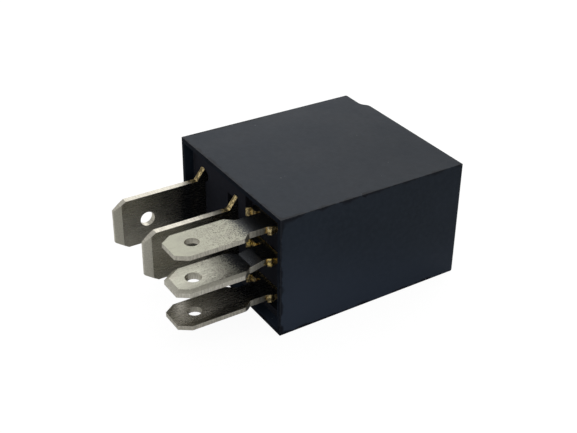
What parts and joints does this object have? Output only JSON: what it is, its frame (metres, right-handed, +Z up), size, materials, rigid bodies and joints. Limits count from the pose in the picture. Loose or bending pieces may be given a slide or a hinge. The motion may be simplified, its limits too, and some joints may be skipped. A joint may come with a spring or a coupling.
{
  "type": "automotive relay",
  "caption": "Small plug-in changeover relay: black rectangular cover over a recessed base with two wide and three narrow flat blade terminals, and a coil, armature and contacts inside.",
  "frame": {"origin": "on the surface the relay lies on, under the middle of its bounding box", "axes": "+Y from the blades' tips to the cover's closed end, +X across the cover's width towards the narrow blades, +Z up from the broad side it lies on"},
  "size_m": [0.023, 0.0364, 0.0153],
  "materials": {
    "cover_plastic": "fine matt moulded",
    "base_plastic": "satin moulded",
    "tinned_brass": "matt tin plate over brass",
    "plated_iron": "nickel plated",
    "bobbin_plastic": "moulded, cream",
    "enamelled_copper": "enamelled copper wire",
    "spring_bronze": "rolled spring bronze",
    "rivet_brass": "bright",
    "contact_silver": "silver alloy",
    "resistor_enamel": "lacquered",
    "tinned_wire": "tinned copper wire",
    "solder": "soft solder, satin"
  },
  "bodies": {
    "housing": {"cover": "cover_plastic", "base": "base_plastic", "terminal_30": "tinned_brass", "terminal_85": "tinned_brass", "terminal_86": "tinned_brass", "terminal_87": "tinned_brass", "terminal_87a": "tinned_brass", "yoke": "plated_iron", "core": "plated_iron", "bobbin": "bobbin_plastic", "coil_winding": "enamelled_copper", "coil_lead_wires": "enamelled_copper", "yoke_rivets": "rivet_brass", "make_contact": "contact_silver", "break_contact": "contact_silver", "resistor_body": "resistor_enamel", "resistor_leads": "tinned_wire", "solder_joints": "solder"},
    "armature": {"armature": "plated_iron", "contact_spring": "spring_bronze", "moving_contact": "contact_silver"}
  },
  "joints": [
    {"name": "armature_hinge", "type": "hinge", "parent": "housing", "child": "armature", "pos_m": [-0.00932, 0.01318, 0.00765], "axis": [0, 0, -1], "range_deg": [0, 2], "stiffness_Nm_per_rad": 0.005, "springref_deg": -1.72, "deforming": ["contact_spring"]}
  ]
}
